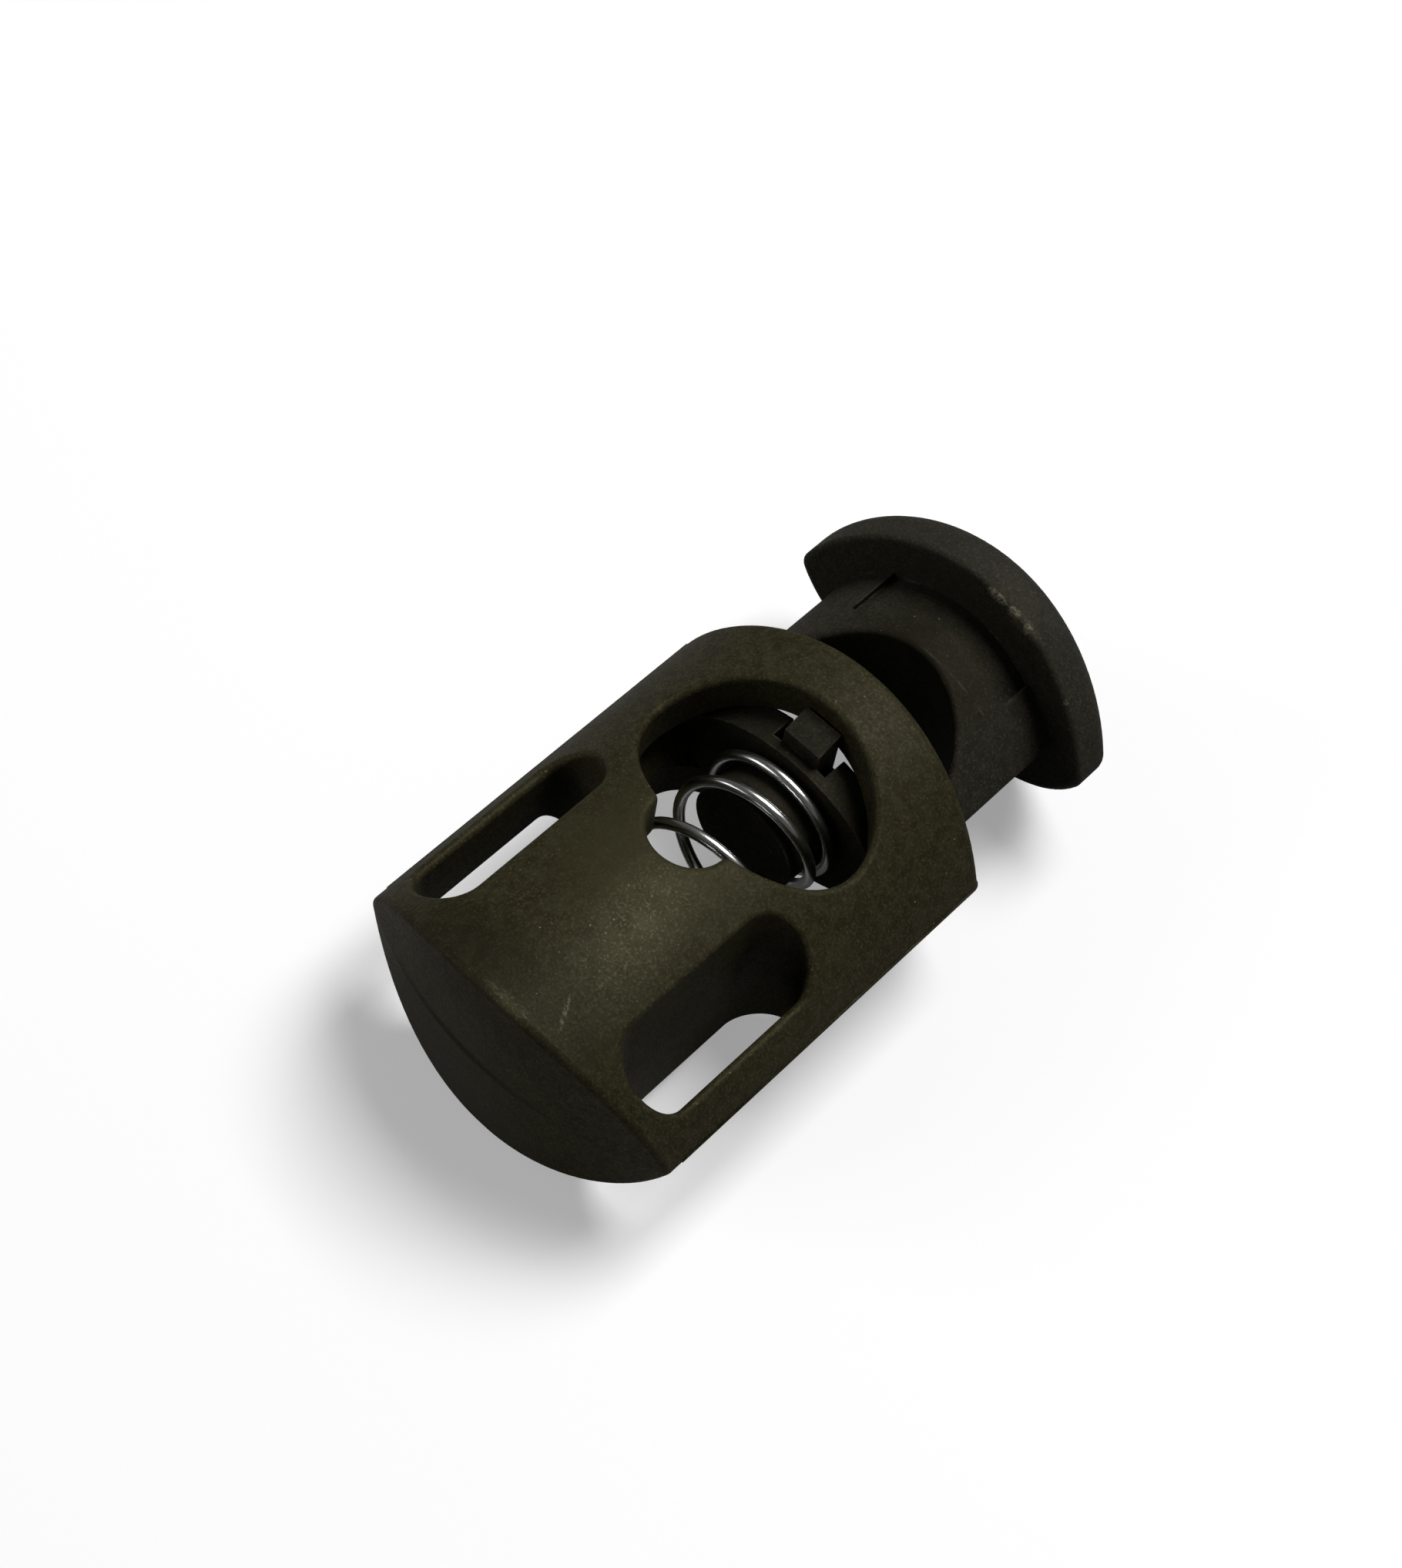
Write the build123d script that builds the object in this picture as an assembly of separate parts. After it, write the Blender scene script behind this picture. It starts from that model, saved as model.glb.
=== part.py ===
"""Single-hole spring cord lock: a lens-section barrel, a push button on a plunger, and its return spring.

Millimetres, +Z up.  The lock lies on its back: +Y runs along the barrel towards the button, +X is sideways
and +Z is the front, where the cord goes in.  The pieces are drawn with the barrel's axis on Y and the middle
of its button end at the origin, then moved so that the origin is under the middle of the whole lock.
"""
import os
from math import radians, sqrt, tan

from build123d import *

# ---- Barrel --------------------------------------------------------------------------------------------------
barrel_width = 17.5            # across the parting edges
barrel_depth = 11.8            # front to back
barrel_length = 23.4           # along the middle, at the parting plane
button_end_radius = 24.0       # the ends bow outwards in front view
closed_end_radius = 19.0
end_draft = 2.5                # degrees: the ends lean in from the parting plane
land_width = 1.4               # narrow flat along the middle of the back, so that the lock lies still
land_round = 4.0               # soft run-out of that flat into the lens
side_edge_radius = 0.5         # rounding of the two parting edges
barrel_edge_radius = 0.35      # rounding of the rims at both ends

# ---- Cord hole: an oval with a small lobe towards the closed end ------------------------------------------
hole_to_side = 3.2             # wall between the oval and each parting edge, in front view
hole_height = 8.7
hole_to_button_end = 3.0       # wall between the oval and the button end
lobe_radius = 1.85
lobe_drop = 4.25               # from the oval's centre to the lobe's centre
lobe_corner_radius = 0.5       # rounding where the lobe runs into the oval

# ---- Side slots ----------------------------------------------------------------------------------------------
slot_width = 3.1
slot_to_side = 1.25            # wall between each slot and its parting edge, in front view
slot_to_button_end = 11.05     # both measured on the barrel's middle line
slot_to_closed_end = 2.45
slot_draft = 1.5               # degrees: the slots narrow towards the parting plane
opening_edge_radius = 0.25     # rounding where the hole and the slots break the surface

# ---- Bore and plunger ----------------------------------------------------------------------------------------
bore_side_wall = 2.0           # barrel wall beside the bore, at the parting plane
bore_face_wall = 2.0           # barrel wall in front of the bore and behind it
stem_side_radius = 0.6
side_play = 0.5                # stem to bore at each side
running_clearance = 0.15       # stem to bore in front and behind
stem_side_wall = 1.15          # stem left on each side of the plunger's hole
button_inset = 0.25            # the button is this much narrower than the barrel, each side
button_thickness = 2.3         # at the middle
button_tip_radius = 1.0        # rounding of the button's two side tips
button_top_radius = 24.5       # the button bows like the barrel's end, above
button_under_radius = 25.5     # and below
button_top_round = 0.9
button_under_round = 0.25
plunger_hole_top = 3.4         # top of the plunger's hole above the barrel's end at rest
clamp_bar_height = 1.9         # bar below the plunger's hole, which pinches the cord
clamp_bar_round = 0.4          # rounded corners where the hole meets the bar
panel_margin = 0.3             # raised strip between the plunger's hole and the sunk panel
panel_width = 8.1              # sunk panel from that strip to the button
panel_sink = 0.35
stem_edge_round = 0.25         # rounding where the plunger's hole breaks the stem

# ---- Snap tabs that stop the plunger at the top of the cord hole ------------------------------------------
tab_width = 2.0
tab_height = 1.35
tab_reach = 1.2                # how far the catch stands out of the stem
tab_slope = 0.4                # how much less it stands out at its lower edge
tab_play = 0.15                # catch to the edge of the cord hole
slit_width = 0.5
slit_depth = 1.4

# ---- Travel and spring ---------------------------------------------------------------------------------------
travel = 5.4
press_gap = 1.55               # button to the barrel's end when fully pressed
floor_gap = 0.15               # clamp bar to the bore's floor when fully pressed
spring_side_gap = 0.4          # spring to the bore's front and back walls
spring_wire = 0.55
spring_turns = 6.25
spring_play = 0.08             # spring's ends to their seats
pocket_clearance = 0.25        # spring to the pocket's wall
pocket_floor = 3.4             # solid plastic under the pocket
spigot_play = 0.2              # spigot to the inside of the spring, which it keeps centred
spigot_length = 2.45

# ---- Widths and depths that follow from these ----------------------------------------------------------------
hole_width = barrel_width - 2 * hole_to_side
slot_x = barrel_width / 2 - slot_to_side - slot_width / 2
bore_width = barrel_width - 2 * bore_side_wall
bore_depth = barrel_depth - 2 * bore_face_wall
stem_width = bore_width - 2 * side_play
stem_depth = bore_depth - 2 * running_clearance
plunger_hole_radius = stem_width / 2 - stem_side_wall
button_width = barrel_width - 2 * button_inset
spring_outer = bore_depth - 2 * spring_side_gap
spigot_diameter = spring_outer - 2 * spring_wire - 2 * spigot_play

# ---- Places along the axis, from the middle of the barrel's button end -----------------------------------
hole_centre_y = -hole_to_button_end - hole_height / 2
hole_top_y = hole_centre_y + hole_height / 2
lobe_centre_y = hole_centre_y - lobe_drop
slot_length = barrel_length - slot_to_button_end - slot_to_closed_end
slot_centre_y = -slot_to_button_end - slot_length / 2
bar_top_y = hole_top_y - tab_play
bar_bottom_y = bar_top_y - clamp_bar_height
bore_floor_y = bar_bottom_y - travel - floor_gap
pocket_floor_y = -barrel_length + pocket_floor
button_standoff = travel + press_gap
plunger_hole_centre_y = plunger_hole_top - plunger_hole_radius
panel_low_y = plunger_hole_top + panel_margin
past = 1.0                     # how far cutting shapes run past what they cut
near = 0.01                    # how close counts as on the middle line or on the parting plane
mostly = 0.9                   # how squarely a face's middle has to face along Y to count as facing that way


def lens_front(width, depth, x):
    """Height of a lens's front arc above the parting plane, at x from the middle line."""
    tip, top = width / 2, depth / 2
    centre_behind = (tip**2 - top**2) / (2 * top)
    return sqrt(tip**2 + centre_behind**2 - x**2) - centre_behind


def lens(width, depth, tip_radius):
    """A lens across the axis: a front arc and a back arc that meet at two rounded tips."""
    tip, top = width / 2, depth / 2
    outline = Curve() + [
        ThreePointArc((-tip, 0), (0, top), (tip, 0)),
        ThreePointArc((tip, 0), (0, -top), (-tip, 0)),
    ]
    section = make_face(outline)
    return fillet(section.vertices(), tip_radius)


def resting_lens(width, depth, tip_radius):
    """The same lens with a narrow flat along the middle of its back."""
    tip, top, land = width / 2, depth / 2, land_width / 2
    centre_ahead = (tip**2 - land**2 - top**2) / (2 * top)
    shoulder = (land + tip) / 2
    shoulder_drop = sqrt(tip**2 + centre_ahead**2 - shoulder**2) - centre_ahead
    outline = Curve() + [
        ThreePointArc((-tip, 0), (0, top), (tip, 0)),
        ThreePointArc((tip, 0), (shoulder, -shoulder_drop), (land, -top)),
        Line((land, -top), (-land, -top)),
        ThreePointArc((-land, -top), (-shoulder, -shoulder_drop), (-tip, 0)),
    ]
    section = make_face(outline)
    section = fillet([v for v in section.vertices() if v.Y < -near], land_round)
    return fillet([v for v in section.vertices() if abs(v.Y) < near], tip_radius)


def along_y(section, y_low, y_high):
    """A section across the axis, carried along Y from y_low to y_high."""
    plane = Plane(origin=(0, y_low, 0), x_dir=(-1, 0, 0), z_dir=(0, 1, 0))
    return extrude(plane * section, y_high - y_low)


def along_z(sketch, depth):
    """A front-view sketch cut or built right through, depth either side of the parting plane."""
    return extrude(sketch, depth, both=True)


def end_sagitta(radius, half_width):
    """How far a bowed end falls back at this distance from the middle line."""
    return radius - sqrt(radius**2 - half_width**2)


def barrel_outline():
    """Front view of the barrel, wider than the barrel so that only its two ends shape anything."""
    x = barrel_width / 2 + past
    top_side = -end_sagitta(button_end_radius, x)
    low_side = -barrel_length + end_sagitta(closed_end_radius, x)
    return make_face(
        Curve()
        + [
            ThreePointArc((-x, low_side), (0, -barrel_length), (x, low_side)),
            Line((x, low_side), (x, top_side)),
            ThreePointArc((x, top_side), (0, 0), (-x, top_side)),
            Line((-x, top_side), (-x, low_side)),
        ]
    )


def cord_hole():
    """Front view of the cord hole: the oval and its lobe, with the two corners between them rounded."""
    oval = Pos(0, hole_centre_y) * Rot(0, 0, 90) * Ellipse(hole_height / 2, hole_width / 2)
    lobe = Pos(0, lobe_centre_y) * Rot(0, 0, 90) * Circle(lobe_radius)
    outline = oval + lobe
    corners = [v for v in outline.vertices() if near < abs(v.X)]
    return fillet(corners, lobe_corner_radius)


def slot_cutter(half_depth):
    """What cuts one side slot, at the origin: full width at the barrel's surface and narrower in the middle."""
    narrowing = tan(radians(slot_draft)) * lens_front(barrel_width, barrel_depth, slot_x)
    middle = Rot(0, 0, 90) * SlotOverall(slot_length - 2 * narrowing, slot_width - 2 * narrowing)
    half = extrude(middle, half_depth, taper=-slot_draft)
    return half + mirror(half, Plane.XY)


def rounded(edges, radius, name):
    """Round these edges of a part, and say how many there were."""
    print(f"{name}: {len(edges)} edges rounded at {radius} mm")
    return fillet(edges, radius)


def make_barrel():
    half = barrel_depth / 2 + past
    drafted_half = extrude(barrel_outline(), half, taper=end_draft)
    block = drafted_half + mirror(drafted_half, Plane.XY)
    section = resting_lens(barrel_width, barrel_depth, side_edge_radius)
    body = along_y(section, -barrel_length - past, past) & block
    ends = [face for face in body.faces() if abs(face.normal_at().Y) > abs(face.normal_at().Z)]
    rims = [e for face in ends for e in face.edges() if abs((e @ 0.5).Z) > near]
    body = rounded(rims, barrel_edge_radius, "barrel ends")
    body -= along_z(cord_hole(), half)
    for side in (-1, 1):
        body -= Pos(side * slot_x, slot_centre_y, 0) * slot_cutter(half)
    middle_of_end_walls = (-barrel_length + slot_to_closed_end / 2, -hole_to_button_end / 2)
    breaks = [
        e
        for e in body.edges()
        if e.geom_type != GeomType.LINE
        and middle_of_end_walls[0] < (e @ 0.5).Y < middle_of_end_walls[1]
        and abs((e @ 0.5).Z) > near
    ]
    body = rounded(breaks, opening_edge_radius, "barrel openings")
    body -= along_y(lens(bore_width, bore_depth, stem_side_radius), bore_floor_y, past)
    pocket = Circle(spring_outer / 2 + pocket_clearance)
    return body - along_y(pocket, pocket_floor_y, bore_floor_y + past)


def plunger_hole():
    """Front view of the plunger's hole: an arch over the flat top of the clamp bar."""
    circle = Pos(0, plunger_hole_centre_y) * Circle(plunger_hole_radius)
    cap_height = plunger_hole_top - bar_top_y
    keep = Pos(0, bar_top_y + cap_height / 2) * Rectangle(2 * plunger_hole_radius, cap_height)
    arch = circle & keep
    return fillet(arch.vertices().group_by(Axis.Y)[0], clamp_bar_round)


def sunk_panels():
    """What is cut from the stem's front and back between the strip above the plunger's hole and the button."""
    height = button_standoff - panel_low_y
    panel = along_z(Pos(0, panel_low_y + height / 2) * Rectangle(panel_width, height), stem_depth)
    core = lens(stem_width - 2 * panel_sink, stem_depth - 2 * panel_sink, stem_side_radius)
    return panel - along_y(core, panel_low_y - past, button_standoff + past)


def button_outline():
    """Front view of the button, wider than it is so that only its two bowed faces shape anything."""
    x = button_width / 2 + past
    top_y = button_standoff + button_thickness
    top_side = top_y - end_sagitta(button_top_radius, x)
    low_side = button_standoff - end_sagitta(button_under_radius, x)
    return make_face(
        Curve()
        + [
            ThreePointArc((-x, low_side), (0, button_standoff), (x, low_side)),
            Line((x, low_side), (x, top_side)),
            ThreePointArc((x, top_side), (0, top_y), (-x, top_side)),
            Line((-x, top_side), (-x, low_side)),
        ]
    )


def make_button():
    """The thumb button: a bowed disc with the barrel's section and rounded edges."""
    section = resting_lens(button_width, barrel_depth, button_tip_radius)
    disc = along_y(section, 0, 2 * button_standoff) & along_z(button_outline(), barrel_depth)
    top = [edge for face in disc.faces() if face.normal_at().Y > mostly for edge in face.edges()]
    disc = rounded(top, button_top_round, "button top")
    underside = [edge for face in disc.faces() if face.normal_at().Y < -mostly for edge in face.edges()]
    return rounded(underside, button_under_round, "button underside")


def snap_tab():
    """A catch on the clamp bar's front: square above, sloped below so that it snaps past the barrel's end."""
    root = stem_depth / 2 - slit_depth
    face = stem_depth / 2 + tab_reach
    profile = Polyline(
        (root, bar_top_y),
        (face, bar_top_y),
        (face - tab_slope, bar_top_y - tab_height),
        (root, bar_top_y - tab_height),
        close=True,
    )
    plane = Plane(origin=(-tab_width / 2, 0, 0), x_dir=(0, 0, 1), z_dir=(-1, 0, 0))
    side = make_face(plane * profile)
    return extrude(side, tab_width, dir=(1, 0, 0))


def make_plunger():
    section = lens(stem_width, stem_depth, stem_side_radius)
    stem = along_y(section, bar_bottom_y, button_standoff + button_thickness / 2)
    stem -= along_z(plunger_hole(), stem_depth)
    arches = [
        e
        for e in stem.edges()
        if e.geom_type not in (GeomType.LINE, GeomType.CIRCLE) and (e @ 0.5).Y > plunger_hole_centre_y
    ]
    stem = rounded(arches, stem_edge_round, "plunger hole")
    stem -= sunk_panels()
    slit_x = tab_width / 2 + slit_width / 2
    slit_z = stem_depth / 2 - slit_depth / 2 + past / 2
    for side in (-1, 1):
        for face in (-1, 1):
            slit = Box(slit_width, tab_height, slit_depth + past)
            stem -= Pos(side * slit_x, bar_top_y - tab_height / 2, face * slit_z) * slit
    tab = snap_tab()
    spigot = along_y(Circle(spigot_diameter / 2), bar_bottom_y - spigot_length, bar_bottom_y + clamp_bar_height / 2)
    return stem + tab + mirror(tab, Plane.XY) + spigot + make_button()


def make_spring():
    """A round wire wound about the axis from the pocket's floor to the plunger."""
    low = pocket_floor_y + spring_play + spring_wire / 2
    high = bar_bottom_y - spring_play - spring_wire / 2
    radius = (spring_outer - spring_wire) / 2
    pitch = (high - low) / spring_turns
    coil = Helix(pitch, high - low, radius, center=(0, low, 0), direction=(0, 1, 0))
    section = Plane(origin=coil @ 0, z_dir=coil % 0) * Circle(spring_wire / 2)
    return sweep(section, path=coil, is_frenet=True)


def main():
    pieces = {"barrel": make_barrel(), "plunger": make_plunger(), "spring": make_spring()}
    middle_y = (button_standoff + button_thickness - barrel_length) / 2
    os.makedirs("parts", exist_ok=True)
    for name, piece in pieces.items():
        placed = Pos(0, -middle_y, barrel_depth / 2) * piece
        export_step(placed, f"parts/{name}.step")
        box = placed.bounding_box()
        print(f"{name}: {placed.volume:.1f} mm3, {box.min} to {box.max}")


main()
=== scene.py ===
# %% [markdown]
# # A spring cord lock, finished in Blender
#
# A cord lock grips a drawcord: a coil spring pushes a plunger with a hole out of a moulded barrel, and the
# cord is pinched where the two holes no longer line up.  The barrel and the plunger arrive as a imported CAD
# model that already has its true size and shape, so this lesson gives them their finish, winds a real
# spring, and sets up the table, the light and the camera.  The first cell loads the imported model, which
# stays where it is.

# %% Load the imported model
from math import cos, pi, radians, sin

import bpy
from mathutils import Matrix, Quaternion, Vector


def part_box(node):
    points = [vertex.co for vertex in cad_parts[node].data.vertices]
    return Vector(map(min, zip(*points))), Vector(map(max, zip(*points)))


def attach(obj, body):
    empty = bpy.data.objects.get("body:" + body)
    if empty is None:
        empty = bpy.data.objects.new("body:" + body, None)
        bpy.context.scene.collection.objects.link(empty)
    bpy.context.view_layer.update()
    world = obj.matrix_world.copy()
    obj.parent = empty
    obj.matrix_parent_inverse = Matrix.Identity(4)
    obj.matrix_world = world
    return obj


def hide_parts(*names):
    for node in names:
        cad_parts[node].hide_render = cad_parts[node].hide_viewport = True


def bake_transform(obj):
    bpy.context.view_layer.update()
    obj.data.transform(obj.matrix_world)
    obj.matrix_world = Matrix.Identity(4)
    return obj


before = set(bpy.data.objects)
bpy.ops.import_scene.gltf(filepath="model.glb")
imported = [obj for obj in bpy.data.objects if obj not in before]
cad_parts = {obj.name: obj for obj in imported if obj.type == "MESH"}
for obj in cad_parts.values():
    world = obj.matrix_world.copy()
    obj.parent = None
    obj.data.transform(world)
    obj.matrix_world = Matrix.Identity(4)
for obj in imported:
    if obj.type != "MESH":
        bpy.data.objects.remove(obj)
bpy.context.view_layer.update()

# %% [markdown]
# Blender works in metres and this object is about as long as a thumb joint, so sizes are written in
# millimetres and multiplied by `MM`.  The boxes of the barrel and the spring are measured now, before
# anything is added.  The finished model has to keep that size.  The parting line further down is all that
# stands out of the lock, by 0.04 mm.

MM = 0.001
barrel_low, barrel_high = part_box("barrel")
spring_low, spring_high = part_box("spring")
axis_height = (barrel_low.z + barrel_high.z) / 2
print("height of the barrel's axis above the table, mm:", round(axis_height / MM, 2))

# %% [markdown]
# The camera looks down on the front of the lock from the side of the closed end.  Its direction is three
# angles: how far round the lock it stands, how high it is, and how far it is rolled.  One quaternion points
# it along the viewing direction, and a second one rolls it about its own axis.

# %% Camera
view_round, view_height, view_roll = radians(33.956), radians(57.753), radians(11.197)
view_distance = 124.97 * MM
look_at = Vector((-3.18 * MM, barrel_low.y + 16.64 * MM, axis_height))
towards_camera = Vector(
    (sin(view_round) * cos(view_height), -cos(view_round) * cos(view_height), sin(view_height))
)
camera = bpy.data.objects.new("camera", bpy.data.cameras.new("camera"))
bpy.context.scene.collection.objects.link(camera)
bpy.context.scene.camera = camera
camera.data.lens = 65.18
camera.data.clip_start, camera.data.clip_end = 1 * MM, 20.0
camera.rotation_mode = "QUATERNION"
point_at_lock = (-towards_camera).to_track_quat("-Z", "Y")
camera.rotation_quaternion = point_at_lock @ Quaternion((0, 0, 1), view_roll)
camera.location = look_at + towards_camera * view_distance
print("camera, mm:", [round(place / MM, 1) for place in camera.location])

# %% [markdown]
# Materials are made of nodes.  Two small helpers keep that readable: one makes an empty material, and one
# adds a node, sets it up, and fills its inputs, either with a plain value or with a link from another node.

# %% Node helpers
def new_material(name):
    """A material with an empty node tree."""
    material = bpy.data.materials.new(name)
    material.use_nodes = True
    material.node_tree.nodes.clear()
    return material, material.node_tree


def add_node(tree, kind, inputs=None, **settings):
    """Add a node, set its own settings, and fill its inputs, named or numbered, with values or links."""
    made = tree.nodes.new(kind)
    for name, value in settings.items():
        setattr(made, name, value)
    for name, value in (inputs or {}).items():
        if isinstance(value, bpy.types.NodeSocket):
            tree.links.new(value, made.inputs[name])
        else:
            made.inputs[name].default_value = value
    return made


def grey(value):
    """A neutral colour."""
    return (value, value, value, 1)


# %% [markdown]
# Patterns need a few more: a change of range, arithmetic, a mix of two colours and the length of a vector.
# They only join nodes together, so that the finishes further down read as a recipe.

# %% Arithmetic helpers
def fit_range(tree, value, low, high, to_low=0.0, to_high=1.0, smooth=False):
    """Carry a value from one range to another, and hold it at the new range's ends."""
    settings = {"Value": value, "From Min": low, "From Max": high, "To Min": to_low, "To Max": to_high}
    kind = "SMOOTHSTEP" if smooth else "LINEAR"
    return add_node(tree, "ShaderNodeMapRange", settings, interpolation_type=kind).outputs["Result"]


def combine(tree, operation, first, second):
    """Arithmetic on two values."""
    return add_node(tree, "ShaderNodeMath", {0: first, 1: second}, operation=operation).outputs[0]


def times(tree, first, second):
    """The product of two values."""
    return combine(tree, "MULTIPLY", first, second)


def larger(tree, first, second):
    """The larger of two values."""
    return combine(tree, "MAXIMUM", first, second)


def length_of(tree, vector):
    """How long a vector is."""
    return add_node(tree, "ShaderNodeVectorMath", {0: vector}, operation="LENGTH").outputs["Value"]


def mix_colour(tree, amount, first, second):
    """The first colour where the amount is 0, and the second where it is 1."""
    made = add_node(tree, "ShaderNodeMix", {"Factor": amount}, data_type="RGBA")
    for socket, value in ((made.inputs[6], first), (made.inputs[7], second)):
        if isinstance(value, bpy.types.NodeSocket):
            tree.links.new(value, socket)
        else:
            socket.default_value = value
    return made.outputs[2]


# %% [markdown]
# A pattern also needs to know where on the piece it is.  Object coordinates stay with a piece when it
# moves, and scaled to millimetres they let a pattern be given in bumps per millimetre.  Smooth noise makes
# a surface uneven, and a soft-edged patch puts a mark in one place, where hands, pockets and the mould
# leave it.

# %% Pattern helpers
def place_in_mm(tree):
    """The piece's own coordinates, in millimetres."""
    coordinates = add_node(tree, "ShaderNodeTexCoord").outputs["Object"]
    settings = {"Vector": coordinates, "Scale": (1 / MM,) * 3}
    return add_node(tree, "ShaderNodeMapping", settings).outputs[0]


def noise(tree, place, scale, detail=2.0, roughness=0.5, lift=0.0):
    """Smooth random values at so many bumps per millimetre; a lift takes another part of the noise."""
    if lift:
        place = add_node(tree, "ShaderNodeVectorMath", {0: place, 1: (lift, lift, lift)}).outputs[0]
    settings = {"Vector": place, "Scale": scale, "Detail": detail, "Roughness": roughness}
    return add_node(tree, "ShaderNodeTexNoise", settings).outputs["Fac"]


def spot(tree, place, centre, half_size, turn, soft):
    """1 inside an ellipsoid at this place, fading to 0 over the soft share of its radius; millimetres."""
    settings = {"Vector": place, "Location": centre, "Rotation": (0, 0, turn), "Scale": half_size}
    local = add_node(tree, "ShaderNodeMapping", settings, vector_type="TEXTURE").outputs[0]
    return fit_range(tree, length_of(tree, local), 1.0, 1.0 - soft, smooth=True)


# %% [markdown]
# The lock lies on a plain white table.  A bright sheet of paper would throw light up into every dark corner
# of the lock, so light on its way from the lock finds a darker grey there than the camera does.  A Light
# Path node makes that choice, and lifts the sheet to white with a little light of its own for the camera
# and for clear materials, and much less for mirror reflections.  That light grows with the distance from
# the lock, where the lamps are weaker, so the table stays white to its edge and still shows the lock's soft
# shadow.

# %% Table
def seen_directly(tree, ray):
    """1 for what the camera sees, by itself or through a clear material."""
    return larger(tree, ray.outputs["Is Camera Ray"], ray.outputs["Is Transmission Ray"])


seen_grey, bounce_grey = 0.70, 0.28
white_near, white_far = 1.02, 1.0
lit_reach, unlit_reach = 0.08, 0.60
mirrored_share = 0.12
bpy.ops.mesh.primitive_plane_add(size=4.0, location=(0, 0, 0))
table = bpy.context.object
table.name = "table_top"
paper, tree = new_material("white_paper")
ray = add_node(tree, "ShaderNodeLightPath")
seen = seen_directly(tree, ray)
sheet_grey = fit_range(tree, seen, 0.0, 1.0, bounce_grey, seen_grey)
sheet = add_node(tree, "ShaderNodeBsdfPrincipled", {"Base Color": sheet_grey, "Roughness": 0.9})
spread = length_of(tree, add_node(tree, "ShaderNodeTexCoord").outputs["Object"])
own_light = fit_range(tree, spread, lit_reach, unlit_reach, white_near - seen_grey, white_far, smooth=True)
mirrored = times(tree, ray.outputs["Is Glossy Ray"], mirrored_share)
lift = times(tree, larger(tree, seen, mirrored), own_light)
own_white = add_node(tree, "ShaderNodeEmission", {"Color": grey(1.0), "Strength": lift})
surface = add_node(tree, "ShaderNodeAddShader", {0: sheet.outputs[0], 1: own_white.outputs[0]})
add_node(tree, "ShaderNodeOutputMaterial", {"Surface": surface.outputs[0]})
table.data.materials.append(paper)
print("the table has", len(tree.nodes), "nodes")

# %% [markdown]
# Two soft lamps light the lock.  The main one hangs over the button end and lays a sheen along the front of
# the barrel.  A wide, weak one stands low on the left of the closed end and opens up the faces that the
# first cannot reach.  A lamp that is small for its distance gives hard shadows, so both are large beside
# the lock.

# %% Lamps
bpy.context.scene.view_settings.view_transform = "Standard"


def soft_lamp(name, direction, distance, size, power):
    """A rectangular lamp that looks at the lock from this direction."""
    data = bpy.data.lights.new(name, "AREA")
    data.shape = "RECTANGLE"
    data.size, data.size_y = size
    data.energy = power
    made = bpy.data.objects.new(name, data)
    bpy.context.scene.collection.objects.link(made)
    direction = Vector(direction).normalized()
    made.location = direction * distance
    made.rotation_mode = "QUATERNION"
    made.rotation_quaternion = direction.to_track_quat("Z", "Y")
    print(name, "at, mm:", [round(side / MM) for side in made.location])


soft_lamp("main_lamp", (0.08, 0.43, 0.90), distance=0.60, size=(0.32, 0.28), power=3.6)
soft_lamp("fill_lamp", (-0.60, -0.72, 0.34), distance=0.60, size=(0.40, 0.30), power=0.85)

# %% [markdown]
# The room behind the lamps lights the lock as a dim grey that is a little paler at the horizon, and that is
# also what the wire and the plastic mirror.  A white room would turn both milky.  The camera sees it as
# white, so the table has no visible horizon.

# %% Room
room = bpy.data.worlds.new("room")
bpy.context.scene.world = room
room.use_nodes = True
tree = room.node_tree
tree.nodes.clear()
direction = add_node(tree, "ShaderNodeTexCoord").outputs["Generated"]
height = add_node(tree, "ShaderNodeSeparateXYZ", {0: direction}).outputs["Z"]
ramp = add_node(tree, "ShaderNodeValToRGB", {"Fac": height})
walls = ramp.color_ramp.elements
walls[0].position, walls[0].color = 0.0, grey(0.16)
walls[1].position, walls[1].color = 1.0, grey(0.05)
for position, level in ((0.15, 0.12), (0.40, 0.07)):
    walls.new(position).color = grey(level)
dim_room = add_node(tree, "ShaderNodeBackground", {"Color": ramp.outputs["Color"], "Strength": 1.0})
white_room = add_node(tree, "ShaderNodeBackground", {"Color": grey(1.0), "Strength": 1.0})
seen = seen_directly(tree, add_node(tree, "ShaderNodeLightPath"))
back = add_node(tree, "ShaderNodeMixShader", {0: seen, 1: dim_room.outputs[0], 2: white_room.outputs[0]})
add_node(tree, "ShaderNodeOutputWorld", {"Surface": back.outputs[0]})
print("the room has", len(tree.nodes), "nodes")

# %% [markdown]
# The barrel and the plunger are injection moulded in one dark olive plastic, and its finish is built in
# layers.  First the colour: it drifts slowly over the piece, is mottled at half a millimetre, and the fine
# spark-eroded grain that the mould leaves on every face has paler peaks and dirt in its valleys.  Flat
# paint would look like a drawing here, because the lock is so small that its grain shows.

# %% Colour of the moulding
# Dirt in the grain's valleys; the same colour is painted shade in patches on the barrel and the plunger.
dirt_and_shade_tint = (0.0095, 0.0085, 0.0050, 1)
drift_per_mm, mottle_per_mm, grain_per_mm = 0.22, 1.8, 8.0


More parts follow.
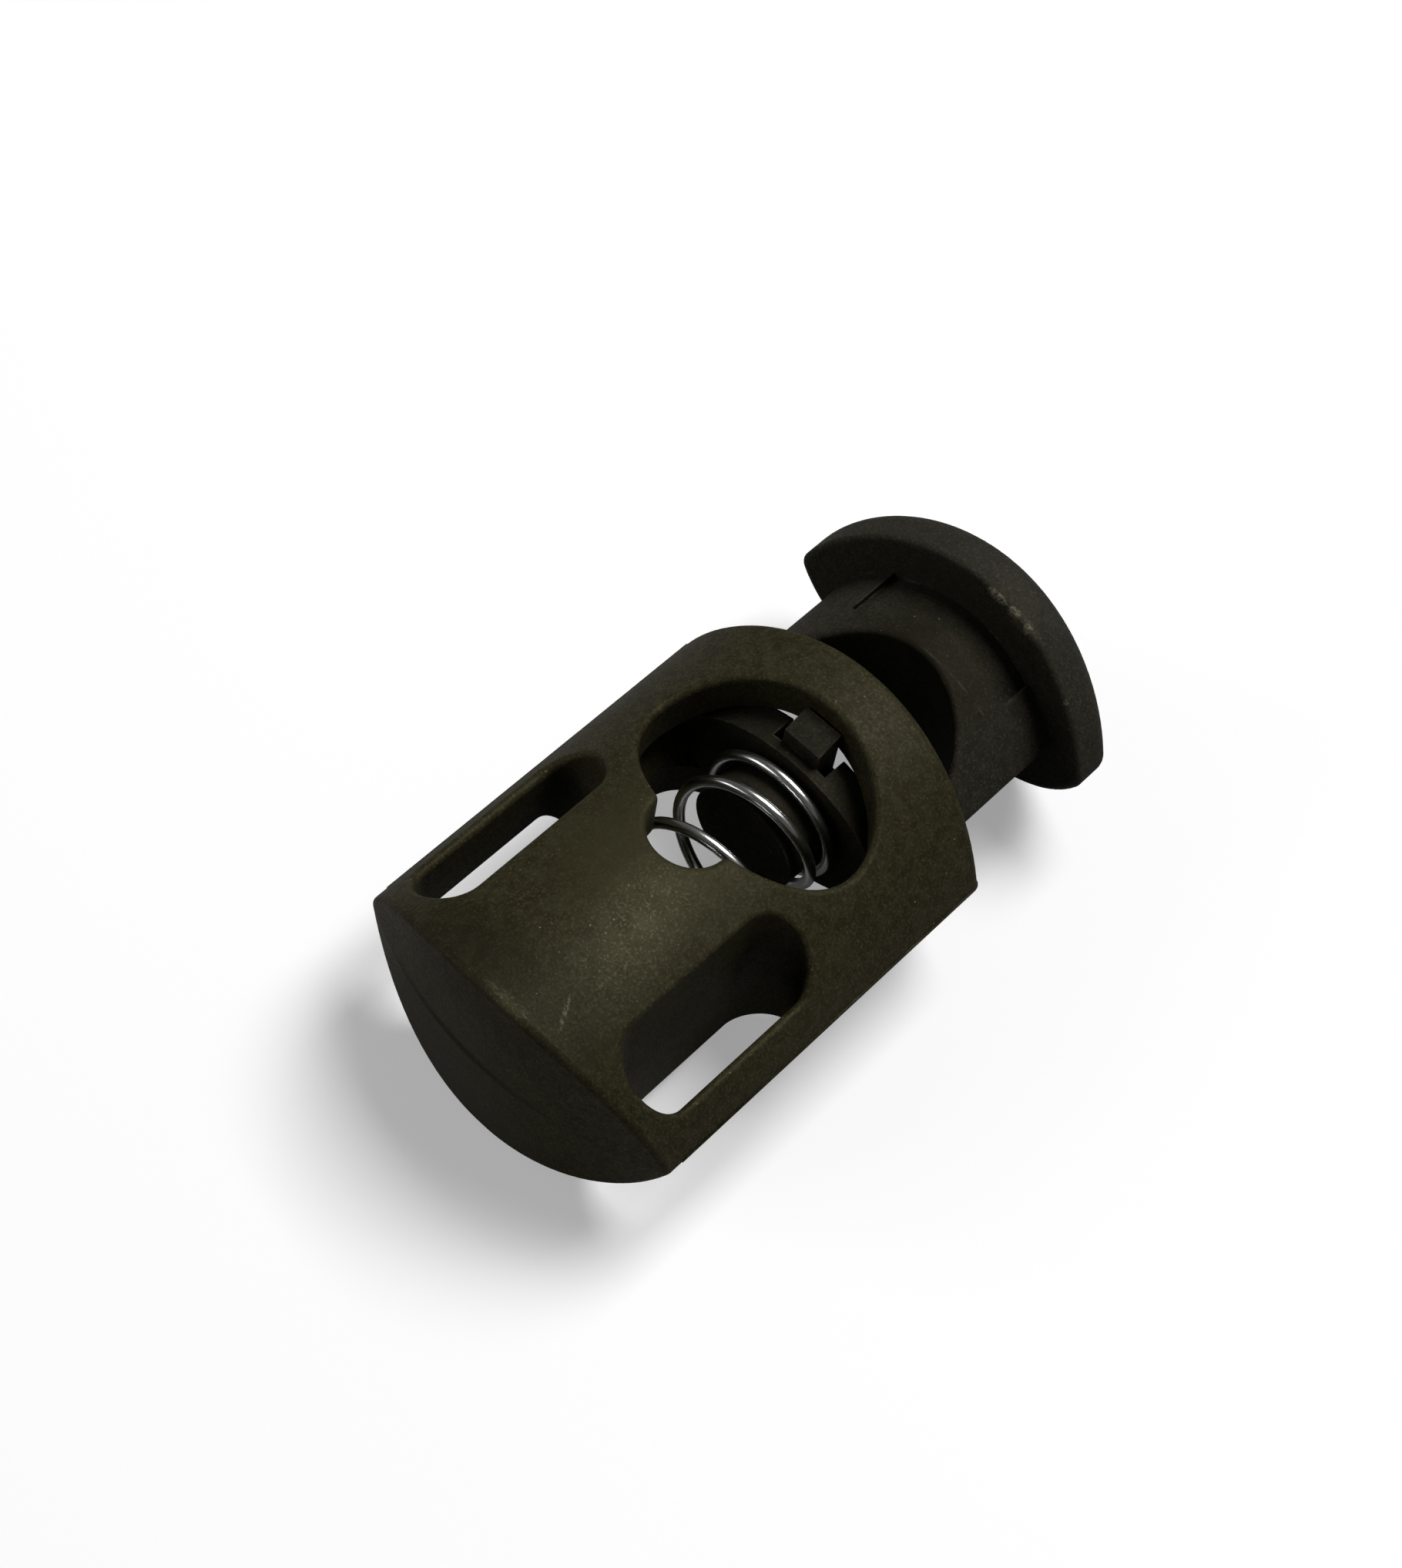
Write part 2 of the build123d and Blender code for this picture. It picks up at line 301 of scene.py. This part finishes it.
def moulded_colour(tree, place, grain, peaks, tint):
    """Drift and mottle, with rubbed peaks and soiled valleys on the grain."""
    dark, pale, mottled, rubbed = tint
    drift = fit_range(tree, noise(tree, place, drift_per_mm, 3.0), 0.35, 0.65)
    colour = mix_colour(tree, drift, dark, pale)
    mottle = fit_range(tree, noise(tree, place, mottle_per_mm, 5.0, 0.7, 7.0), 0.40, 0.62)
    colour = mix_colour(tree, times(tree, mottle, 0.8), colour, mottled)
    colour = mix_colour(tree, times(tree, peaks, 0.7), colour, rubbed)
    valleys = fit_range(tree, grain, 0.46, 0.30, smooth=True)
    return mix_colour(tree, times(tree, valleys, 0.5), colour, dirt_and_shade_tint)


print("grains, mm apart:", 1 / grain_per_mm)

# %% [markdown]
# Next come the marks of use, and painted light.  A patch changes the colour, for dirt and for painted shade,
# sheen and reflection.  A rub brings out the paler plastic and its painted glints, and on the barrel the
# same mix makes a painted highlight.  A scratch or a chip shows the palest colour.  Each is a soft-edged
# spot that blotchy noise or the grain breaks up, because a clean ellipse would look sprayed on.

# %% Marks of use and painted light
blotches_per_mm = 1.0


def patched(tree, place, colour, patches, blotches):
    """The colour with each patch mixed in: its centre, half size, turn, tint and strength."""
    for centre, half_size, turn, tint, strength in patches:
        patch = spot(tree, place, centre, half_size, turn, soft=0.8)
        uneven = fit_range(tree, blotches, 0.0, 1.0, 0.7 * strength, strength)
        colour = mix_colour(tree, times(tree, patch, uneven), colour, tint)
    return colour


def rub_and_sheen_places(tree, place, rubs_and_sheen):
    """1 in the middle of each rubbed place or painted highlight: its centre, half size and turn."""
    rubbed = 0.0
    for centre, half_size, turn in rubs_and_sheen:
        rubbed = larger(tree, rubbed, spot(tree, place, centre, half_size, turn, soft=0.9))
    return rubbed


def scratched_places(tree, place, scratches, grain):
    """How deep each scratch or chip is: its centre, half size, turn and strength."""
    scratched = 0.0
    for centre, half_size, turn, strength in scratches:
        mark = spot(tree, place, centre, half_size, turn, soft=0.5)
        scratched = larger(tree, scratched, times(tree, mark, strength))
    return times(tree, scratched, fit_range(tree, grain, 0.42, 0.58, 0.15, 1.0))


print("marks are broken up at, mm:", 1 / blotches_per_mm)

# %% [markdown]
# Scattered grains get painted glints: specks painted in the pale worn colour, and made a little glossier.  A
# Voronoi texture gives each of its cells a random colour: one channel decides whether the cell gets a
# painted glint at all, and the others vary its size and brightness.  Two scales of cells keep the glints
# from looking like a regular print, and more of them pass where it is rubbed or has a painted highlight.

# %% Painted glints
glints_per_mm = (4.5, 8.0)
glint_limit, rubbed_glint_limit = 0.975, 0.60


def painted_glints(tree, place, rubbed, grain):
    """Small ragged specks, painted highlights on single grains: a few anywhere, and many where the surface
    is rubbed or has a painted highlight.
    """
    limit = fit_range(tree, rubbed, 0.0, 1.0, glint_limit, rubbed_glint_limit)
    brightest = 0.0
    for per_mm in glints_per_mm:
        cells = add_node(tree, "ShaderNodeTexVoronoi", {"Vector": place, "Scale": per_mm, "Randomness": 1.0})
        chance, size, shine = add_node(tree, "ShaderNodeSeparateColor", {0: cells.outputs["Color"]}).outputs
        reach = combine(tree, "ADD", cells.outputs["Distance"], times(tree, grain, 0.4))
        reach = combine(tree, "ADD", reach, times(tree, size, 0.16))
        speck = fit_range(tree, reach, 0.34, 0.46, 1.0, 0.0, smooth=True)
        speck = times(tree, speck, combine(tree, "GREATER_THAN", chance, limit))
        shine = fit_range(tree, shine, 0.0, 1.0, 0.25, 1.0)
        brightest = larger(tree, brightest, times(tree, speck, shine))
    return brightest


print("glints, mm apart:", [round(1 / per_mm, 2) for per_mm in glints_per_mm])

# %% [markdown]
# Edges wear first.  A Bevel node finds them without any extra mesh: its rounded normal leaves the true
# normal only near an edge, so the angle between the two is a mask.  Noise then wears some stretches more
# than others.

# %% Worn edges
worn_edge_radius = 0.2 * MM


def worn_edges(tree, place):
    """1 along the worn stretches of a piece's edges."""
    true_normal = add_node(tree, "ShaderNodeNewGeometry").outputs["Normal"]
    soft_normal = add_node(tree, "ShaderNodeBevel", {"Radius": worn_edge_radius}, samples=6).outputs[0]
    normals = {0: true_normal, 1: soft_normal}
    likeness = add_node(tree, "ShaderNodeVectorMath", normals, operation="DOT_PRODUCT").outputs["Value"]
    edge = fit_range(tree, likeness, 0.985, 0.90, smooth=True)
    return times(tree, edge, fit_range(tree, noise(tree, place, 1.1, 5.0, 0.65, 11.0), 0.50, 0.66))


print("worn edge, mm:", round(worn_edge_radius / MM, 2))

# %% [markdown]
# The shader puts the layers together.  The grain is a bump of a few hundredths of a millimetre, over a
# softer unevenness, and it varies the roughness too, which breaks up the gloss.  The plastic is matt, so
# its mirror layer is weak, and it is faintly yellow, as light that comes back from an olive surface is.

# %% Olive plastic
# The pale colour of worn edges, scratches and chips, which also paints the glints.
wear_and_glint_tint = (0.170, 0.158, 0.105, 1)
mirror_tint = (1.0, 0.92, 0.62, 1)
bump_height = 0.03 * MM


def olive_plastic(name, tint, patches, rubs_and_sheen, scratches, shine):
    """The moulded plastic with this piece's own tint and marks, painted shade and highlights among them;
    their places are in millimetres.
    """
    material, tree = new_material(name)
    place = place_in_mm(tree)
    grain = noise(tree, place, grain_per_mm, 2.0, 0.6, 3.0)
    peaks = fit_range(tree, grain, 0.52, 0.70, smooth=True)
    blotches = fit_range(tree, noise(tree, place, blotches_per_mm, 5.0, 0.62, 23.0), 0.36, 0.64)
    colour = moulded_colour(tree, place, grain, peaks, tint)
    colour = patched(tree, place, colour, patches, blotches)

    rub_and_sheen = rub_and_sheen_places(tree, place, rubs_and_sheen)
    painted_glint = painted_glints(tree, place, times(tree, rub_and_sheen, blotches), grain)
    # Worn edges, scratches, chips and painted glints take the worn colour, as does the grain where rubbed or
    # in a painted highlight.
    worn = larger(tree, times(tree, worn_edges(tree, place), 0.30), painted_glint)
    worn = larger(tree, worn, times(tree, rub_and_sheen, times(tree, peaks, 0.3)))
    worn = larger(tree, worn, scratched_places(tree, place, scratches, grain))
    # Rubbed places, and the painted highlight on the barrel's front, take the rubbed colour.
    rubbed = times(tree, rub_and_sheen, fit_range(tree, blotches, 0.0, 1.0, 0.20, 0.95))
    colour = mix_colour(tree, rubbed, colour, tint[-1])
    colour = mix_colour(tree, worn, colour, wear_and_glint_tint)

    roughness = fit_range(tree, grain, 0.3, 0.7, 0.58, 0.46)
    roughness = combine(tree, "SUBTRACT", roughness, times(tree, worn, 0.16))
    uneven = times(tree, noise(tree, place, 2.4, 3.0, 0.5, 5.0), 0.8)
    bump = {"Height": combine(tree, "ADD", grain, uneven), "Strength": 0.5, "Distance": bump_height}
    settings = {
        "Base Color": colour,
        "Roughness": roughness,
        "Normal": add_node(tree, "ShaderNodeBump", bump).outputs["Normal"],
        "Specular IOR Level": shine,
        "Specular Tint": mirror_tint,
    }
    shader = add_node(tree, "ShaderNodeBsdfPrincipled", settings)
    add_node(tree, "ShaderNodeOutputMaterial", {"Surface": shader.outputs[0]})
    print(name, "has", len(tree.nodes), "nodes")
    return material


def finish(node, material):
    """Give a CAD piece this material alone."""
    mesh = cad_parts[node].data
    mesh.materials.clear()
    mesh.materials.append(material)


# %% [markdown]
# The barrel is the piece that a hand holds.  Its front has a painted sheen, lighter below the cord hole, and
# painted shade that darkens it towards the closed end.  Below the hole, pale plastic and painted glints make
# a painted highlight, a bit of the closed end's edge is rubbed down to pale plastic, and one short scratch
# lies between them.  The closed end itself has a painted reflection, greyer and lighter on its left and
# lower half, with painted shade in the seam across it.  Marks are placed from the closed end and from the
# front, so they stay where they belong if the barrel's size changes.

# %% Barrel
closed_end, front = barrel_low.y / MM, barrel_high.z / MM
painted_sheen_tint = (0.0290, 0.0262, 0.0118, 1)
painted_reflection_tint = (0.0440, 0.0400, 0.0310, 1)
# Dark, pale, mottled and rubbed colours; the rubbed one also paints the highlight below the cord hole.
barrel_tint = (
    (0.0160, 0.0126, 0.0054, 1),
    (0.0192, 0.0182, 0.0070, 1),
    (0.0310, 0.0288, 0.0145, 1),
    (0.0520, 0.0470, 0.0250, 1),
)
barrel_patches = [
    # Painted sheen: the front is lighter below the cord hole, where the main lamp lights it most.
    ((-0.3, closed_end + 9.6, front), (5.6, 5.6, 4.5), radians(20), painted_sheen_tint, 0.9),
    # Painted shade: the front is darker towards the closed end.
    ((-0.5, closed_end + 1.6, front - 0.5), (8.5, 2.8, 4.0), 0.0, dirt_and_shade_tint, 0.75),
    # Painted reflection and light: the closed end is greyer and lighter on its left side.
    ((-4.0, closed_end - 0.6, front / 2), (9.5, 2.4, 6.3), 0.0, painted_reflection_tint, 0.65),
    # Painted reflection: the lower half of the closed end is greyer and lighter, as if lit from the table.
    ((-4.0, closed_end - 0.2, 1.4), (11.0, 2.6, 4.9), 0.0, painted_reflection_tint, 1.0),
    # Painted shade along the seam across the closed end.
    ((-2.0, closed_end, front / 2 + 0.16), (9.5, 2.2, 0.42), 0.0, dirt_and_shade_tint, 0.9),
]
barrel_rubs_and_sheen = [
    # A painted highlight on the front below the cord hole, thick with painted glints.
    ((1.6, closed_end + 7.2, front), (2.4, 4.4, 3.0), radians(18)),
    ((0.6, closed_end + 0.6, front), (1.7, 0.5, 1.5), 0.0),
]
barrel_scratches = [((2.43, closed_end + 2.0, front), (0.13, 1.05, 3.0), radians(29.5), 0.34)]
barrel_plastic = olive_plastic(
    "olive_plastic_barrel", barrel_tint, barrel_patches, barrel_rubs_and_sheen, barrel_scratches, shine=0.09
)
finish("barrel", barrel_plastic)

# %% [markdown]
# The plunger is greyer and duller, because it is pressed and slid rather than rubbed.  Its button is greyer
# still, its stem under the button and its clamp bar inside the bore are darkened with painted shade, the
# edge of its arch is rubbed where the cord runs, and the rim of its button is rubbed too and has a few small
# chips.
# Marks are placed from the barrel's mouth.

# %% Plunger
mouth = barrel_high.y / MM
button_grey_tint = (0.0345, 0.0325, 0.0305, 1)
plunger_tint = (
    (0.0165, 0.0152, 0.0112, 1),
    (0.0200, 0.0190, 0.0138, 1),
    (0.0260, 0.0248, 0.0185, 1),
    (0.0460, 0.0430, 0.0320, 1),
)
plunger_patches = [
    # The button is greyer.
    ((0.0, mouth + 8.6, front / 2), (11.0, 2.6, 9.0), 0.0, button_grey_tint, 0.75),
    # Painted shade on the stem under the button.
    ((0.5, mouth + 3.8, front - 1.7), (8.0, 5.0, 2.8), 0.0, dirt_and_shade_tint, 1.0),
    # Painted shade on the clamp bar inside the bore.
    ((0.0, mouth - 5.2, front - 4.0), (8.0, 4.2, 5.0), 0.0, dirt_and_shade_tint, 0.9),
]
plunger_rubs = [
    ((1.6, mouth + 3.2, front - 2.0), (0.6, 0.4, 0.8), 0.0),
    ((2.9, mouth + 7.0, front - 0.5), (1.7, 0.55, 0.8), 0.0),
]
button_chips = [
    ((1.1, mouth + 7.08, front - 0.1), (0.80, 0.24, 0.5), 0.0, 0.9),
    ((2.1, mouth + 7.15, front - 0.4), (0.42, 0.20, 0.4), 0.0, 0.9),
    ((3.0, mouth + 7.10, front - 0.7), (0.30, 0.25, 0.4), 0.0, 0.85),
    ((6.1, mouth + 6.60, front - 2.7), (0.22, 0.20, 0.4), 0.0, 0.75),
]
plunger_plastic = olive_plastic(
    "olive_plastic_plunger", plunger_tint, plunger_patches, plunger_rubs, button_chips, shine=0.042
)
finish("plunger", plunger_plastic)

# %% [markdown]
# Where the two halves of the mould met, a moulding keeps a parting line: a hair of plastic that stands a
# few hundredths of a millimetre proud along its widest section.  The barrel already has that section, so
# the line is cut from a copy of it.  The copy is sliced to a band at the parting plane.  A slice takes
# points up to a tenth of a millimetre from its plane as lying on it, so the band follows the barrel's own
# rows of points and comes out about 0.3 mm wide.  Of that, the stretches inside the bore are deleted,
# because a core formed them, and the ones round the closed end's corners, where the line is worn away.
# The band is then fattened a little and given a thickness.

# %% Parting line
slice_width, line_height = 0.11 * MM, 0.04 * MM
corner_start = barrel_low.y + 3.0 * MM
merge_distance = 0.0005 * MM


def parting_line(name, node, material, is_left_out):
    """A thin raised band round a moulding at the parting plane, without the faces that are left out."""
    bpy.ops.object.select_all(action="DESELECT")
    band = bpy.data.objects.new(name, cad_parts[node].data.copy())
    bpy.context.scene.collection.objects.link(band)
    bpy.context.view_layer.objects.active = band
    band.select_set(True)
    bpy.ops.object.mode_set(mode="EDIT")
    bpy.ops.mesh.select_all(action="SELECT")
    bpy.ops.mesh.remove_doubles(threshold=merge_distance)
    for side in (1, -1):
        bpy.ops.mesh.select_all(action="SELECT")
        cut = (0, 0, axis_height + side * slice_width / 2)
        bpy.ops.mesh.bisect(plane_co=cut, plane_no=(0, 0, side), clear_outer=True)
    bpy.ops.mesh.select_all(action="SELECT")
    bpy.ops.mesh.bisect(plane_co=(0, corner_start, 0), plane_no=(0, 1, 0))
    bpy.ops.mesh.select_all(action="DESELECT")
    bpy.ops.object.mode_set(mode="OBJECT")
    for face in band.data.polygons:
        face.select = is_left_out(face.center)
    bpy.ops.object.mode_set(mode="EDIT")
    bpy.ops.mesh.delete(type="FACE")
    bpy.ops.mesh.select_all(action="SELECT")
    bpy.ops.transform.shrink_fatten(value=line_height)
    bpy.ops.object.mode_set(mode="OBJECT")
    wall = band.modifiers.new("wall", "SOLIDIFY")
    wall.thickness, wall.offset = 2 * line_height, -1
    bpy.ops.object.modifier_apply(modifier=wall.name)
    band.data.materials.clear()
    band.data.materials.append(material)
    print(name, "has", len(band.data.polygons), "faces")
    return band


spring_reach = (spring_high.x - spring_low.x) / 2
core_floor = spring_low.y - 0.5 * MM
corner_reach = barrel_high.x - 1.3 * MM


def in_core_or_corner(place):
    """Inside the bore or the spring's pocket, on the lobe of the cord hole, or round a worn corner."""
    beside_bore = barrel_high.y - 10.8 * MM < place.y < barrel_high.y - 0.8 * MM
    in_core = abs(place.x) < spring_reach + 0.6 * MM or beside_bore and abs(place.x) < 7.2 * MM
    at_corner = abs(place.x) > corner_reach and place.y < corner_start
    return at_corner or place.y > core_floor and in_core


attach(parting_line("barrel_parting_line", "barrel", barrel_plastic, in_core_or_corner), "barrel")

# %% [markdown]
# The spring is hard-drawn steel wire, bright from the die.  It is a metal, so its colour is its reflection.
# A faint haze varies its tone and its roughness from place to place, which keeps the highlights from
# looking like chrome, and fine marks from the die are a very shallow bump.

# %% Spring steel
bright_steel, hazy_steel = (0.90, 0.90, 0.88, 1), (0.74, 0.74, 0.72, 1)
mark_depth = 0.01 * MM
steel, tree = new_material("spring_steel")
place = place_in_mm(tree)
haze = noise(tree, place, 1.5, 4.0, 0.6)
marks = noise(tree, place, 9.0, 2.0, 0.5, 2.0)
bump = add_node(tree, "ShaderNodeBump", {"Height": marks, "Strength": 0.02, "Distance": mark_depth})
settings = {
    "Base Color": mix_colour(tree, fit_range(tree, haze, 0.35, 0.65), bright_steel, hazy_steel),
    "Metallic": 1.0,
    "Roughness": fit_range(tree, haze, 0.3, 0.7, 0.19, 0.27),
    "Normal": bump.outputs[0],
}
shader = add_node(tree, "ShaderNodeBsdfPrincipled", settings)
add_node(tree, "ShaderNodeOutputMaterial", {"Surface": shader.outputs[0]})
print("spring steel has", len(tree.nodes), "nodes")

# %% [markdown]
# A real compression spring is not an even helix: its end turns lie almost flat, so that it stands square,
# and only the turns between them are open.  The pitch therefore grows from that of the closed end turns to
# that of the open ones, which is worked out from the room between the two seats.

# %% Pitch of the spring
wire = 0.55 * MM
turns, closed_turns, easing_turns = 6.25, 0.5, 1.0
closed_pitch = 0.6 * MM
top_of_coil, foot_of_coil = spring_high.y - wire / 2, spring_low.y + wire / 2
closed_and_easing = 2 * closed_turns + easing_turns
open_rise = top_of_coil - foot_of_coil - closed_pitch * closed_and_easing
open_pitch = open_rise / (turns - closed_and_easing)
print("pitch of the open turns, mm:", round(open_pitch / MM, 2))


def pitch_at(turn):
    """Pitch of the spring, at so many turns from its nearer end."""
    opened = min(max((min(turn, turns - turn) - closed_turns) / easing_turns, 0), 1)
    return closed_pitch + (open_pitch - closed_pitch) * opened


# %% [markdown]
# A Screw modifier can only wind evenly, so a path is laid along the helix point by point, and the curve's
# own round bevel is the wire.  Turned into a mesh, it takes the place of the imported spring, between the
# same two seats.

# %% Wind the spring
steps_per_turn = 48
start_turn = -0.4
coil_radius = spring_reach - wire / 2
bpy.ops.object.select_all(action="DESELECT")
bpy.ops.curve.primitive_nurbs_path_add(location=(0, 0, 0))
spring = bpy.context.object
spring.name = "coil_spring"
spring.data.splines.clear()
helix = spring.data.splines.new("POLY")
helix.points.add(round(turns * steps_per_turn))
y = top_of_coil
for step, point in enumerate(helix.points):
    turn = step / steps_per_turn
    angle = 2 * pi * (turn + start_turn)
    point.co = (-coil_radius * sin(angle), y, axis_height + coil_radius * cos(angle), 1)
    y -= pitch_at(turn + 0.5 / steps_per_turn) / steps_per_turn
print("foot of the coil, mm from its seat:", round((y - foot_of_coil) / MM, 3))
spring.data.bevel_depth = wire / 2
spring.data.bevel_resolution = 5
spring.data.use_fill_caps = True
bpy.ops.object.convert(target="MESH")
bpy.ops.object.shade_smooth_by_angle(angle=radians(40))
spring.data.materials.clear()
spring.data.materials.append(steel)
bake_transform(spring)
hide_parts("spring")
print("spring:", len(spring.data.polygons), "faces")
